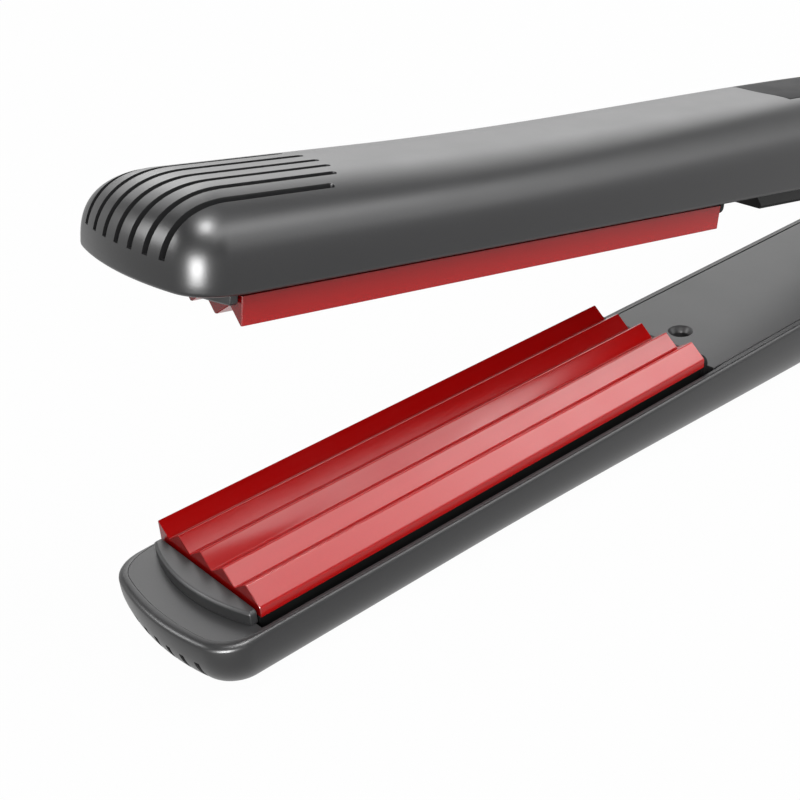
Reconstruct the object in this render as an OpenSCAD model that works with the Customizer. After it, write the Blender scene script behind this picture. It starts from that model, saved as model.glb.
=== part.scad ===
// Hair crimper with two spring-opened arms and ridged hot plates.
//
// Arm frame: every arm piece is drawn in the frame of the lower arm. X runs from
// the front end of the crimp plate (0) to the hinge, Y runs across the arm and
// Z = 0 is the plane of the plate's valleys. The upper arm is the same arm
// turned over about the mid plane and swung open about the hinge.
// Row frame: the crimper lies on its nose and its grip, on the plane Z = 0.

/* [Plates] */
// Length of a crimp plate
plate_l = 92.4; // [70:0.1:120]
// Width of a crimp plate
plate_w = 24.75; // [20:0.05:25]
// Distance from ridge to ridge
ridge_pitch = 5.5; // [4:0.1:7]
// Height of a ridge above its valleys
ridge_h = 1.75; // [1:0.05:2.6]
// Thickness of the plate under its valleys
plate_t = 2.1; // [1.6:0.05:2.6]
// Height of the valleys above the inner face of the arm
plate_stand = 2.95; // [2.6:0.05:4]
// How far the plate's low edge falls below the valleys
edge_drop = 0.4; // [0:0.05:0.8]
// Gap that the closed plates keep between ridge and valley
mesh_gap = 0.33; // [0.2:0.01:0.6]

/* [Arms] */
// How far an arm stands out past its plate on each side
side_margin = 2.125; // [2:0.025:4]
// How far the nose reaches in front of the plate
nose_reach = 9.85; // [8:0.05:16]
// Radius of the bowed nose front, in plan
nose_front_r = 40; // [26:0.5:60]
// Radius of the nose corners, in plan
nose_corner_r = 5.7; // [3:0.1:7]
// Distance from the plate's front end to the centre of the domed nose
dome_centre = 4.2; // [3:0.1:9]
// Depth of the casing under its rim, at the plate
nose_depth = 10.2; // [10:0.05:13]
// Depth of the casing under its rim, at the grip
grip_depth = 13.85; // [12.5:0.05:17]
// Exponent of the casing's rounded-square cross-section
section_power = 2.66; // [2.3:0.01:3]
// Share of the casing's width that is flat along its back
flat_share = 0.3; // [0.2:0.01:0.4]
// Where the casing starts to swell towards the grip
swell_start = 33; // [20:1:70]
// Where the grip is at its deepest
swell_end = 153; // [130:1:156]
// Where the grip starts to taper towards the hinge
taper_start = 152; // [146:1:160]
// How much narrower each side is at the hinge
tail_narrow = 0.4; // [0:0.05:0.5]
// Wall of the casing
wall = 1.9; // [1.7:0.05:2.2]
// Width of the rounded rim of the casing
rim_bead_w = 0.5; // [0.4:0.05:0.7]
// How much wider the rim is round the front of the nose
nose_bead_w = 0.8; // [0:0.05:0.9]
// Height of the rounded rim of the casing
rim_bead_h = 0.8; // [0.5:0.05:1]

/* [Vents] */
// Number of vent slots over the nose
vent_count = 7; // [3:2:7]
// Distance from slot to slot
vent_pitch = 2.88; // [2.4:0.01:2.9]
// Width of a slot
vent_w = 0.95; // [0.5:0.05:1.2]
// How far below the rim the slots end on the nose front
vent_drop = 3; // [3:0.1:5]
// Where the middle slot ends on the casing
vent_reach = 20.2; // [16:0.5:22]
// Radius of the arc on which the slots end
vent_arc_r = 11; // [10:0.5:20]

/* [Deck and cover] */
// Thickness of the deck that closes the casing
deck_t = 2.45; // [2.2:0.05:2.8]
// Clearance round the deck in the casing
deck_gap = 0.15; // [0.1:0.01:0.3]
// Distance from the side of the arm to the grip cover
cover_margin = 1.7; // [1.6:0.05:2.5]
// Thickness of the grip cover
cover_t = 1.5; // [1.2:0.05:1.6]
// Clearance round the cover in the deck
cover_gap = 0.15; // [0.1:0.01:0.3]
// Width of the ledge under the cover's edge
cover_ledge = 1.4; // [1:0.1:2]
// Height of the thick cover of the upper grip above its face
pad_h = 2.95; // [2:0.05:3.4]
// Inset of the raised part of the thick cover from the cover's side
pad_inset = 0.3; // [0.2:0.05:2.5]
// Distance from the plate to the foot of the thick cover
pad_setback = 9; // [3:0.1:12]
// Distance from the plate to the front cover screw
screw_setback = 9.1; // [7:0.1:12]
// Distance from the hinge axis to the rear cover screw
rear_screw_back = 25; // [22:0.5:27]
// Radius of the screw well's countersink
screw_sink_r = 2.25; // [2:0.05:2.6]
// Radius of the screw well
screw_well_r = 1.45; // [1.4:0.05:1.6]
// Radius of a cover screw's shank
screw_r = 0.8; // [0.7:0.05:0.9]
// Length of a cover screw's shank
screw_l = 3.6; // [3:0.1:4]

/* [Plate holder] */
// Height of the front end block above the face
block_h = 2.05; // [1.6:0.05:2.4]
// Inset of the front end block from the plate's side
block_inset = 0.425; // [0.3:0.025:2.5]
// Length of the front end block at its middle
block_l = 3.6; // [2.8:0.1:4.5]
// Radius of the front end block's bowed front
block_r = 30; // [28:0.5:50]
// Gap between the front end block and the plate
block_gap = 0.3; // [0.05:0.01:0.5]
// Thickness of the lip behind the plate
lip_t = 0.8; // [0.6:0.05:1]
// Height of the lip above the face
lip_h = 2.45; // [1.5:0.05:2.6]
// Inset of the plate holder under the plate's edge
holder_inset = 0.6; // [0.4:0.05:1]
// Depth of the plate holder under the plate
holder_d = 7.7; // [7.2:0.1:8]
// Wall of the plate holder
holder_wall = 1.0; // [0.8:0.05:1.4]
// Height of the clamping flange of the plate holder
flange_t = 0.95; // [0.8:0.05:1.2]

/* [Heater] */
// Length of the heating element
heater_l = 60; // [50:1:66]
// Width of the heating element
heater_w = 12; // [8:0.5:14]
// Thickness of the heating element
heater_t = 2.0; // [1.5:0.1:2.4]
// Thickness of the insulating sheet
sheet_t = 0.4; // [0.2:0.05:0.6]
// Thickness of the spring steel of the heater clip
clip_t = 0.4; // [0.3:0.05:0.6]
// Radius of an insulated lead
lead_r = 0.6; // [0.5:0.05:0.7]
// Distance of each lead from the middle of the arm
lead_y = 4; // [3.8:0.1:4.6]
// Length of the sleeved thermal fuse
fuse_l = 7; // [5:0.5:7]
// Length of the lead connector
connector_l = 9; // [7:0.5:11]
// Width of the lead connector
connector_w = 13; // [12:0.5:14]
// Distance from the lead connector to the crossbar of the hinge
connector_setback = 7; // [5:0.5:10]

/* [Hinge] */
// Distance from the plate's front end to the hinge axis
hinge_x = 211; // [205:0.5:225]
// Length of the arm's tail that follows the round of the hinge
tail_l = 34; // [30:1:40]
// Angle between the arms when the crimper is open
open_angle = 10.67; // [6:0.01:12]
// Radius of the hinge barrel
barrel_r = 12.5; // [12:0.1:13]
// Width of the knuckle of the lower arm
knuckle_w = 14.8; // [14:0.1:15.4]
// Thickness of the washers between knuckle and ears
washer_t = 0.5; // [0.3:0.05:0.6]
// Radius of the hinge pin
pin_r = 2.0; // [1.6:0.05:2.4]
// Radial clearance of the hinge pin
pin_fit = 0.05; // [0.02:0.01:0.08]
// Clearance between the barrel and the casings
barrel_gap = 0.45; // [0.35:0.05:0.8]
// Radius of a hinge cap
cap_r = 8; // [6:0.1:9]
// Mean radius of the opening spring's coils
coil_r = 4.4; // [3.6:0.1:4.6]
// Radius of the spring wire
spring_wire_r = 0.5; // [0.4:0.05:0.55]
// Number of turns of the opening spring
spring_turns = 4; // [3:1:4]

/* [Cord socket] */
// Radius of the bore for the cord
cord_bore_r = 3.1; // [2.5:0.1:3.4]
// Radius of the swivel bush in its bearing
bush_r = 4.55; // [4.4:0.05:5]
// Radial clearance of the swivel bush
bush_fit = 0.05; // [0.02:0.01:0.08]
// Radius of the bush's outer flange
bush_flange_r = 6.6; // [6:0.1:7.2]
// Length of the bush's outer flange
bush_flange_l = 5; // [3:0.1:8]

/* [Controls] */
// Distance from the plate's rear end to the front of the control panel
panel_setback = 23.1; // [20:0.1:28]
// Length of the control panel
panel_l = 56; // [50:0.5:60]
// Width of the control panel
panel_w = 11.8; // [11:0.1:13]
// Bow of the control panel's front end
panel_bow = 1.2; // [0:0.1:2]
// Thickness of the control panel
panel_t = 1.2; // [1:0.05:1.3]
// Clearance round the control panel
panel_gap = 0.15; // [0.1:0.01:0.3]
// Distance from the panel's front to the power button
button_setback = 34; // [30:0.5:36]
// Radius of the power button
button_r = 3.2; // [2.8:0.1:3.6]
// How far the power button stands out of the panel
button_proud = 0.9; // [0.8:0.05:1.2]
// Travel of the power button
button_travel = 0.6; // [0.4:0.05:0.6]
// Clearance round the power button
button_gap = 0.1; // [0.08:0.01:0.2]
// Distance from the panel's front to the indicator lens
lens_setback = 16; // [12:0.5:20]
// Radius of the indicator lens
lens_r = 1.15; // [0.9:0.05:1.4]

/* [Hidden] */
$fn = 48;

// Heights in the arm frame
face_z = -plate_stand;
rim_z = face_z - rim_bead_h;
deck_bottom = face_z - deck_t;
hinge_z = (ridge_h + mesh_gap) / 2;
tail_depth = rim_z - (hinge_z - barrel_r);
holder_bottom = -plate_t - holder_d;
deck_inset = rim_bead_w + 0.15;
floor_t = 1.3 * holder_wall;
holder_clear = 0.5;
peg_x = -block_gap - block_l / 2;

// The nose outline in plan: a bowed front between two round corners
half_w = plate_w / 2 + side_margin;
corner_y = half_w - nose_corner_r;
bow_x = nose_front_r - nose_reach;
corner_x = bow_x - sqrt(pow(nose_front_r - nose_corner_r, 2) - pow(corner_y, 2));
corner_angle = atan2(corner_y, corner_x - bow_x);

// Facets of the lofted casing
blend_x = hinge_x - tail_l;
tail_steps = 5;
side_steps = 14;
cheek_steps = 2;
corner_steps = 5;
front_steps = 5;
section_steps = 11;
bead_steps = 3;
hollow_rise = 1;

// Resting pose: the arm is tilted until the flat back of nose and grip touch the ground
nose_foot_x = dome_centre - flat_share * (dome_centre + nose_reach);
rest_tilt = max([for (x = [swell_start:2:taper_start + 20])
    atan((skin_z(nose_foot_x, 0) - skin_z(x, 0)) / (x - nose_foot_x))]);

// Mountings inside an arm
lower_screw_x = plate_l + screw_setback;
upper_screw_x = plate_l + pad_setback + pad_h + 2 * screw_sink_r;
rear_screw_x = hinge_x - rear_screw_back;
holder_w = plate_w - 2 * holder_inset;
cover_w = 2 * (half_w - cover_margin);
pad_w = cover_w - 2 * pad_inset;
block_w = plate_w - 2 * block_inset;
seat_gap = 0.05;
cover_front = plate_l + lip_t + 1.2;
arm_end_x = hinge_x - barrel_r - 1;
boss_r = 2.6;
boss_z = -7.9;
head_r = screw_well_r - 0.1;
tongue_top = deck_bottom - 0.2;
tongue_bottom = rim_z - tail_depth + wall + 0.35;
crossbar_front = rear_screw_x - 4;
crossbar_back = rear_screw_x + 6;

// Layers under the plate
heater_top = -plate_t;
sheet_top = heater_top - heater_t;
clip_top = sheet_top - sheet_t;
heater_x = (plate_l - heater_l) / 2;
lead_z = holder_bottom + floor_t + lead_r + 0.1;
fuse_r = 1.3;
fuse_x = plate_l - holder_wall - 0.6 - fuse_l;
connector_x = crossbar_front - connector_setback - connector_l;

// Hinge: knuckle in the middle, ears outside
ear_in = knuckle_w / 2 + washer_t + 2 * seat_gap;
ear_out = half_w - tail_narrow - 0.4;
cap_t = 1.0;
cavity_r = 9.3;
cavity_w = 10;
window_w = 6.8;

// Swivel socket on the knuckle
socket_end = hinge_x + barrel_r + 1.5;
socket_in = socket_end - 4;
bush_seat_r = 5.8;

// Controls in the upper arm
panel_x = plate_l + panel_setback;
button_x = panel_x + button_setback;
lens_x = panel_x + lens_setback;
board_t = 1.2;
board_z = -10;
board_w = 16;
board_x0 = panel_x + 4;
board_x1 = panel_x + panel_l - 6;
switch_h = 2.0;
plunger_h = 0.3;
button_skin = 0.25;
lamp_h = 1.0;

casing_grey = [0.29, 0.29, 0.30];
deck_grey = [0.33, 0.33, 0.34];
black = [0.05, 0.05, 0.055];
plate_red = [0.62, 0.04, 0.04];
steel = [0.72, 0.72, 0.74];

// ---------- rules of the shape ----------

// Eases from 0 to 1
function ease(t) = t <= 0 ? 0 : t >= 1 ? 1 : t * t * (3 - 2 * t);

function taper_at(x) = ease((x - taper_start) / (hinge_x - taper_start));

// Depth of the casing under its rim
function depth_at(x) =
    nose_depth
    + (grip_depth - nose_depth) * ease((x - swell_start) / (swell_end - swell_start))
    - (grip_depth - tail_depth) * taper_at(x);

// Half the width of the casing
function half_w_at(x) = half_w - tail_narrow * taper_at(x);

// Share of the depth that the rounded-square section has at a share of its half width
function section_drop(share) = pow(1 - pow(max(flat_share, share), section_power), 1 / section_power);

// Height of the casing's outer skin over a point in plan
function skin_z(x, y) = rim_z - depth_at(x) * section_drop(abs(y) / half_w_at(x));

// Height of the hollow inside the casing over a point in plan
function hollow_z(x, y) =
    let (w = half_w_at(x) - wall, d = depth_at(x) - wall + face_z + hollow_rise - rim_z)
    face_z + hollow_rise - d * section_drop(min(1, abs(y) / w));

// Where a casing ends, so that it stays clear of the round hinge barrel
function tail_x(z, clear) =
    let (r = barrel_r + clear)
    hinge_x - max(0.55 * r, sqrt(max(0, r * r - pow(z - hinge_z, 2))));

// Stations along one side of the outline, from the hinge to the nose tip: [x, y, tail share]
half_outline = concat(
    [for (i = [0:tail_steps - 1]) [blend_x, half_w, 1 - i / tail_steps]],
    [for (i = [0:side_steps]) [blend_x + (dome_centre - blend_x) * i / side_steps, half_w, 0]],
    [for (i = [1:cheek_steps])
        [dome_centre + (corner_x - dome_centre) * i / cheek_steps, half_w, 0]],
    [for (i = [1:corner_steps])
        let (a = 90 + (corner_angle - 90) * i / corner_steps)
        [corner_x + nose_corner_r * cos(a), corner_y + nose_corner_r * sin(a), 0]],
    [for (i = [1:front_steps])
        let (a = corner_angle + (180 - corner_angle) * i / front_steps)
        [bow_x + nose_front_r * cos(a), nose_front_r * sin(a), 0]]
);
outline = concat(
    half_outline,
    [for (i = [len(half_outline) - 2:-1:0])
        [half_outline[i][0], -half_outline[i][1], half_outline[i][2]]]
);

// Extra width of the rim round the front of the nose
function nose_bead_at(x) = nose_bead_w * ease(-x / (0.6 * nose_reach));

// A station's plan point, moved inwards; the tail stations share the nominal end
function plan_x(s, end) = s[0] + s[2] * (end - s[0]);
function plan_y(s, end) = s[1] > 0
    ? min(s[1], half_w_at(plan_x(s, end)))
    : max(s[1], -half_w_at(plan_x(s, end)));
function inward(p, inset) =
    let (spine = [max(p[0], dome_centre), 0], d = spine - p)
    norm(d) < inset ? spine : p + d / norm(d) * inset;

// The arm's outline as a flat shape, cut off square at the rear
module arm_outline(inset, rear) {
    polygon([for (s = outline)
        inward([plan_x(s, rear), plan_y(s, rear)], inset + nose_bead_at(s[0]))]);
}

// One point of the lofted skin: shrinks to the spine as it goes down
function skin_point(s, inset, clear, c, z_of) =
    let (
        nominal = inward([plan_x(s, hinge_x - barrel_r), plan_y(s, hinge_x - barrel_r)], inset),
        z0 = z_of(nominal[0]),
        x1 = s[2] > 0 ? s[0] + s[2] * (tail_x(z0, clear) - s[0]) : nominal[0],
        spine = max(nominal[0], dome_centre),
        x = s[2] > 0 ? x1 : spine + (nominal[0] - spine) * c
    )
    [x, nominal[1] * c, z_of(x)];

// Solid arm: rounded-square sections that close in a dome at the nose.
// inset makes it smaller all round, top is its flat upper face.
module arm_solid(inset, top, clear, bead) {
    rows = section_steps + (bead ? bead_steps : 0);
    drop = bead ? rim_z : top;
    power = 2 / section_power;
    n = len(outline);
    spine_last = tail_steps + side_steps;
    flat_angle = acos(pow(flat_share, section_power / 2));
    skin = [for (s = outline) for (k = [1:rows])
        k <= section_steps
        ? let (a = flat_angle * (section_steps - k) / (section_steps - 1))
            let (cc = pow(cos(a), power), ss = pow(sin(a), power))
            skin_point(s, inset, clear, cc,
                function (x) drop - ss * (depth_at(x) - inset + drop - rim_z))
        : let (a = 90 * (k - section_steps) / bead_steps)
            skin_point(s, inset + (rim_bead_w + nose_bead_at(s[0])) * (1 - cos(a)), clear, 1,
                function (x) rim_z + rim_bead_h * sin(a))];
    keel = [for (i = [0:spine_last])
        skin_point(outline[i], inset, clear, 0,
            function (x) drop - section_drop(0) * (depth_at(x) - inset + drop - rim_z))];
    at = function (i, k) i * rows + k;
    keel_at = function (i) n * rows + min(i, n - 1 - i, spine_last);
    polyhedron(
        points = concat(skin, keel),
        faces = concat(
            [for (i = [0:n - 2]) for (k = [0:rows - 2])
                [at(i, k), at(i, k + 1), at(i + 1, k + 1), at(i + 1, k)]],
            [for (i = [0:n - 2])
                keel_at(i) == keel_at(i + 1)
                ? [at(i, 0), at(i + 1, 0), keel_at(i)]
                : [at(i, 0), at(i + 1, 0), keel_at(i + 1), keel_at(i)]],
            [for (k = [0:rows - 2])
                [at(0, k + 1), at(0, k), at(n - 1, k), at(n - 1, k + 1)]],
            [[at(0, 0), keel_at(0), at(n - 1, 0)]],
            [[for (i = [n - 1:-1:0]) at(i, rows - 1)]]
        )
    );
}

// A patch of the casing's skin, cut as deep as it is thick
module skin_patch(x0, x1, width, bow, rise, deep) {
    nx = 14;
    ny = 6;
    top = [for (i = [0:nx]) for (j = [0:ny])
        let (
            v = 2 * j / ny - 1,
            y = v * width / 2,
            front = x0 + bow * v * v,
            x = front + (x1 - front) * i / nx
        )
        [x, y, skin_z(x, y)]];
    at = function (side, i, j) side * (nx + 1) * (ny + 1) + i * (ny + 1) + j;
    polyhedron(
        points = concat(
            [for (p = top) p + [0, 0, deep]],
            [for (p = top) p - [0, 0, rise]]
        ),
        faces = concat(
            [for (i = [0:nx - 1]) for (j = [0:ny - 1])
                [at(0, i, j), at(0, i, j + 1), at(0, i + 1, j + 1), at(0, i + 1, j)]],
            [for (i = [0:nx - 1]) for (j = [0:ny - 1])
                [at(1, i, j), at(1, i + 1, j), at(1, i + 1, j + 1), at(1, i, j + 1)]],
            [for (i = [0:nx - 1])
                [at(0, i, 0), at(0, i + 1, 0), at(1, i + 1, 0), at(1, i, 0)]],
            [for (i = [0:nx - 1])
                [at(0, i, ny), at(1, i, ny), at(1, i + 1, ny), at(0, i + 1, ny)]],
            [for (j = [0:ny - 1])
                [at(0, 0, j), at(1, 0, j), at(1, 0, j + 1), at(0, 0, j + 1)]],
            [for (j = [0:ny - 1])
                [at(0, nx, j), at(0, nx, j + 1), at(1, nx, j + 1), at(1, nx, j)]]
        )
    );
}

// ---------- placing ----------

// Row frame: origin under the middle of the crimper's length, on the ground
row_length_mid = (socket_end + bush_flange_l - nose_reach) / 2;
ground_shift = (row_length_mid - nose_foot_x) * tan(rest_tilt);
module at_rest() {
    rotate([0, -rest_tilt, 0])
        translate([-row_length_mid, 0, -skin_z(nose_foot_x, 0) + ground_shift])
            children();
}
module turned_over() {
    translate([0, 0, 2 * hinge_z])
        rotate([180, 0, 0])
            children();
}
module swung_open() {
    translate([hinge_x, 0, hinge_z])
        rotate([0, open_angle, 0])
            translate([-hinge_x, 0, -hinge_z])
                children();
}
module upper_arm() {
    at_rest()
        swung_open()
            turned_over()
                children();
}
module lower_arm() {
    at_rest()
        children();
}

// ---------- shared shapes ----------

// A bar from x0 to x1 and z0 to z1, centred across the arm
module bar(x0, x1, width, z0, z1) {
    translate([x0, -width / 2, z0])
        cube([x1 - x0, width, z1 - z0]);
}
// An upright round post or hole
module post(x, y, r, z0, z1) {
    translate([x, y, z0])
        cylinder(r = r, h = z1 - z0);
}
// A disc across the arm, on the hinge axis
module hinge_disc(r, y0, y1) {
    translate([hinge_x, y0, hinge_z])
        rotate([-90, 0, 0])
            cylinder(r = r, h = y1 - y0, $fn = 72);
}
// The same on both sides of the arm
module both_sides() {
    for (side = [0, 1])
        mirror([0, side, 0])
            children();
}

// ---------- pieces of one arm, in the arm frame ----------

module vent_cut(y) {
    reach = vent_reach - vent_arc_r + sqrt(pow(vent_arc_r, 2) - y * y);
    z0 = rim_z - 2 * nose_depth;
    hull() {
        post(-2 * nose_reach, y, vent_w / 2, z0, rim_z - vent_drop, $fn = 12);
        post(reach - vent_w / 2, y, vent_w / 2, z0, rim_z - vent_drop, $fn = 12);
    }
}

// Moulded casing: hollow loft with a rebated rim, vents over the nose, ribs
// under the plate holder and pillars for the screws
module casing(screw_x) {
    difference() {
        arm_solid(0, face_z, barrel_gap, true);
        arm_solid(wall, face_z + hollow_rise, barrel_gap - 1, false);
        translate([0, 0, deck_bottom - seat_gap])
            linear_extrude(deck_t + 1)
                arm_outline(deck_inset, hinge_x);
        for (i = [0:vent_count - 1])
            vent_cut((i - (vent_count - 1) / 2) * vent_pitch);
    }
    intersection() {
        arm_solid(wall / 2, face_z, barrel_gap, false);
        union() {
            for (x = [0.3, 0.62, 0.93] * plate_l)
                bar(x, x + 1.4, 0.68 * holder_w, rim_z - 1.5 * nose_depth, holder_bottom);
            hull() {
                post(screw_x, 0, boss_r + 0.6, rim_z - grip_depth, rim_z - nose_depth, $fn = 24);
                post(screw_x, 0, boss_r - 0.2, boss_z - 1.2, boss_z, $fn = 24);
            }
            post(rear_screw_x, 0, boss_r, rim_z - grip_depth, tongue_bottom, $fn = 24);
            children();
        }
    }
}
module casing_with_pilot_holes(screw_x) {
    difference() {
        casing(screw_x)
            children();
        for (x = [screw_x, rear_screw_x])
            post(x, 0, screw_r + seat_gap, holder_bottom - 2.2, boss_z + 1, $fn = 16);
    }
}

// Deck: closes the casing round the plate and carries the cover on a ledge
module deck() {
    pocket_w = plate_w + 1.6;
    difference() {
        translate([0, 0, deck_bottom])
            linear_extrude(deck_t)
                arm_outline(deck_inset + deck_gap, arm_end_x);
        bar(-block_gap - 0.3, cover_front, pocket_w, face_z - 0.9, face_z + 1);
        bar(-block_gap - 0.3, cover_front, pocket_w - 1.6, deck_bottom - 1, face_z);
        bar(cover_front - 0.1, hinge_x, cover_w + 2 * cover_gap, face_z - cover_t, face_z + 1);
        bar(cover_front - 0.1, hinge_x, cover_w - 2 * cover_ledge, deck_bottom - 1, face_z);
        both_sides()
            post(peg_x, block_w / 4, 1.05, face_z - 1.8, face_z + 1);
    }
}

// Screw well: countersunk mouth, straight bore and a floor with a shank hole
module screw_well(x, top, floor_z) {
    post(x, 0, screw_well_r, floor_z + 1, top + 1);
    post(x, 0, screw_r + 0.1, floor_z - 1, top);
    translate([x, 0, top - 1])
        cylinder(r1 = screw_well_r, r2 = screw_sink_r, h = 1);
    post(x, 0, screw_sink_r, top, top + 1);
}
module cover_plate(screw_x) {
    bar(cover_front, arm_end_x, cover_w, face_z - cover_t, face_z);
    post(screw_x, 0, boss_r, boss_z + seat_gap, face_z - cover_t);
    post(rear_screw_x, 0, boss_r, tongue_top, face_z - cover_t);
}
module flat_cover() {
    difference() {
        cover_plate(lower_screw_x);
        screw_well(lower_screw_x, face_z, boss_z);
        screw_well(rear_screw_x, face_z, tongue_top);
    }
}
// The thick cover has a bevelled front and softened long edges
module thick_cover() {
    foot = plate_l + pad_setback;
    edge = 0.8;
    difference() {
        union() {
            cover_plate(upper_screw_x);
            intersection() {
                translate([0, -pad_w / 2, 0])
                    rotate([-90, 0, 0])
                        linear_extrude(pad_w)
                            polygon([
                                [foot, -face_z], [foot + pad_h, -face_z - pad_h],
                                [arm_end_x, -face_z - pad_h], [arm_end_x, -face_z]
                            ]);
                rotate([90, 0, 90])
                    linear_extrude(hinge_x)
                        polygon([
                            [-pad_w / 2, face_z], [-pad_w / 2, face_z + pad_h - edge],
                            [-pad_w / 2 + edge, face_z + pad_h], [pad_w / 2 - edge, face_z + pad_h],
                            [pad_w / 2, face_z + pad_h - edge], [pad_w / 2, face_z]
                        ]);
            }
        }
        screw_well(upper_screw_x, face_z + pad_h, boss_z);
        screw_well(rear_screw_x, face_z + pad_h, tongue_top);
    }
}
module cover_screw(x, seat) {
    post(x, 0, head_r, seat, seat + 1.2, $fn = 24);
    post(x, 0, screw_r, seat - screw_l, seat, $fn = 24);
}
module cover_screws(screw_x) {
    cover_screw(screw_x, boss_z + 1);
    cover_screw(rear_screw_x, tongue_top + 1);
}

// End block: a bowed segment with a bevelled top, pegged into the deck
module end_block() {
    bevel = 0.35;
    centre_x = block_r - block_gap - block_l;
    top = face_z + block_h;
    intersection() {
        union() {
            translate([centre_x, 0, face_z])
                cylinder(r = block_r, h = block_h - bevel, $fn = 180);
            translate([centre_x, 0, top - bevel])
                cylinder(r1 = block_r, r2 = block_r - bevel, h = bevel, $fn = 180);
        }
        rotate([90, 0, 90])
            translate([0, 0, -2 * block_l])
                linear_extrude(2 * block_l - block_gap)
                    polygon([
                        [-block_w / 2, face_z], [-block_w / 2, top - bevel],
                        [-block_w / 2 + bevel, top], [block_w / 2 - bevel, top],
                        [block_w / 2, top - bevel], [block_w / 2, face_z]
                    ]);
    }
    both_sides()
        post(peg_x, block_w / 4, 1.0, face_z - 1.7, face_z);
}

// Lip behind the plate, with rounded upper corners
module lip() {
    r = 1.2;
    x0 = plate_l + seat_gap;
    bar(x0, x0 + lip_t, plate_w - 2 * r, deck_bottom - 0.1, face_z + lip_h);
    bar(x0, x0 + lip_t, plate_w, deck_bottom - 0.1, face_z + lip_h - r);
    both_sides()
        translate([x0, plate_w / 2 - r, face_z + lip_h - r])
            rotate([0, 90, 0])
                cylinder(r = r, h = lip_t, $fn = 32);
}

// Plate holder: a tray with a clamping flange and a lip behind the plate
module plate_holder() {
    back = plate_l + lip_t;
    difference() {
        union() {
            rotate([90, 0, 90])
                linear_extrude(back)
                    polygon(concat(
                        [[holder_w / 2, -plate_t], [-holder_w / 2, -plate_t]],
                        [for (i = [-10:10])
                            let (y = holder_w / 2 * i / 10)
                            [y, max(holder_bottom, hollow_z(0, y) + holder_clear)]]
                    ));
            bar(-1.4, back + 1, holder_w + 0.4, deck_bottom - seat_gap - flange_t, deck_bottom - seat_gap);
            lip();
        }
        rotate([90, 0, 90])
            translate([0, 0, holder_wall])
                linear_extrude(plate_l - 2 * holder_wall)
                    polygon(concat(
                        [[holder_w / 2 - holder_wall, 0], [-holder_w / 2 + holder_wall, 0]],
                        [for (i = [-10:10])
                            let (y = (holder_w / 2 - holder_wall) * i / 10)
                            [y, max(holder_bottom, hollow_z(0, y) + holder_clear) + floor_t]]
                    ));
        both_sides()
            translate([plate_l - 2 * holder_wall, lead_y, lead_z])
                rotate([0, 90, 0])
                    cylinder(r = lead_r + seat_gap, h = 8);
    }
}

// Ridge profile across the plate: a saw-tooth row, cut off at the plate's edges.
// Turned over, the same row meshes with itself.
function ridge_z(y) =
    let (u = (y + 10.25 * ridge_pitch) / ridge_pitch, v = u - floor(u))
    ridge_h * (1 - abs(2 * v - 1));
module crimp_plate() {
    edge = plate_w / 2;
    turn = ridge_pitch / 2;
    first = ceil((-edge - ridge_pitch / 4) / turn + 0.001);
    last = floor((edge - ridge_pitch / 4) / turn - 0.001);
    rail_y = holder_w / 2 - holder_wall - 0.1;
    rotate([90, 0, 90])
        linear_extrude(plate_l)
            polygon(concat(
                [[edge, -plate_t], [rail_y, -plate_t], [rail_y, -plate_t - 2.2],
                    [rail_y - 1.4, -plate_t - 2.2], [rail_y - 1.4, -plate_t],
                    [-rail_y + 1.4, -plate_t], [-rail_y + 1.4, -plate_t - 2.2],
                    [-rail_y, -plate_t - 2.2], [-rail_y, -plate_t], [-edge, -plate_t]],
                [[-edge, -edge_drop]],
                [for (i = [first:last]) let (y = i * turn + ridge_pitch / 4) [y, ridge_z(y)]],
                [[edge, ridge_z(edge)]]
            ));
}

// The rails of the plate leave room for the holder's end walls
module crimp_plate_trimmed() {
    difference() {
        crimp_plate();
        for (x = [-1, plate_l - holder_wall - 0.1])
            bar(x, x + holder_wall + 1.1, plate_w + 1, -plate_t - 3, -plate_t);
    }
}

module heater() {
    bar(heater_x, heater_x + heater_l, heater_w, sheet_top, heater_top);
}
module mica_sheet() {
    bar(heater_x - 2, heater_x + heater_l + 2, heater_w + 2, clip_top, sheet_top);
}
// Heater clip: a bowed strip that braces the heater against the plate
module heater_clip() {
    floor_z = holder_bottom + floor_t;
    mid_x = plate_l / 2;
    foot = 12;
    rotate([90, 0, 0])
        translate([0, 0, -heater_w / 4])
            linear_extrude(heater_w / 2)
                polygon([
                    [mid_x - foot, clip_top], [mid_x + foot, clip_top],
                    [mid_x + 2 * foot, floor_z + clip_t], [mid_x + 2.4 * foot, floor_z + clip_t],
                    [mid_x + 2.4 * foot, floor_z], [mid_x + 2 * foot - clip_t, floor_z],
                    [mid_x + foot - clip_t, clip_top - clip_t], [mid_x - foot + clip_t, clip_top - clip_t],
                    [mid_x - 2 * foot + clip_t, floor_z], [mid_x - 2.4 * foot, floor_z],
                    [mid_x - 2.4 * foot, floor_z + clip_t], [mid_x - 2 * foot, floor_z + clip_t]
                ]);
}
// Thermal fuse: a sleeved bead against the underside of the plate
module thermal_fuse() {
    translate([fuse_x, 0, -plate_t - fuse_r])
        rotate([0, 90, 0])
            cylinder(r = fuse_r, h = fuse_l, $fn = 24);
}
module leads(end_x) {
    both_sides()
        translate([heater_x + heater_l - 4, lead_y, lead_z])
            rotate([0, 90, 0])
                cylinder(r = lead_r, h = end_x - heater_x - heater_l + 4, $fn = 16);
}

// ---------- hinge ----------

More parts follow.
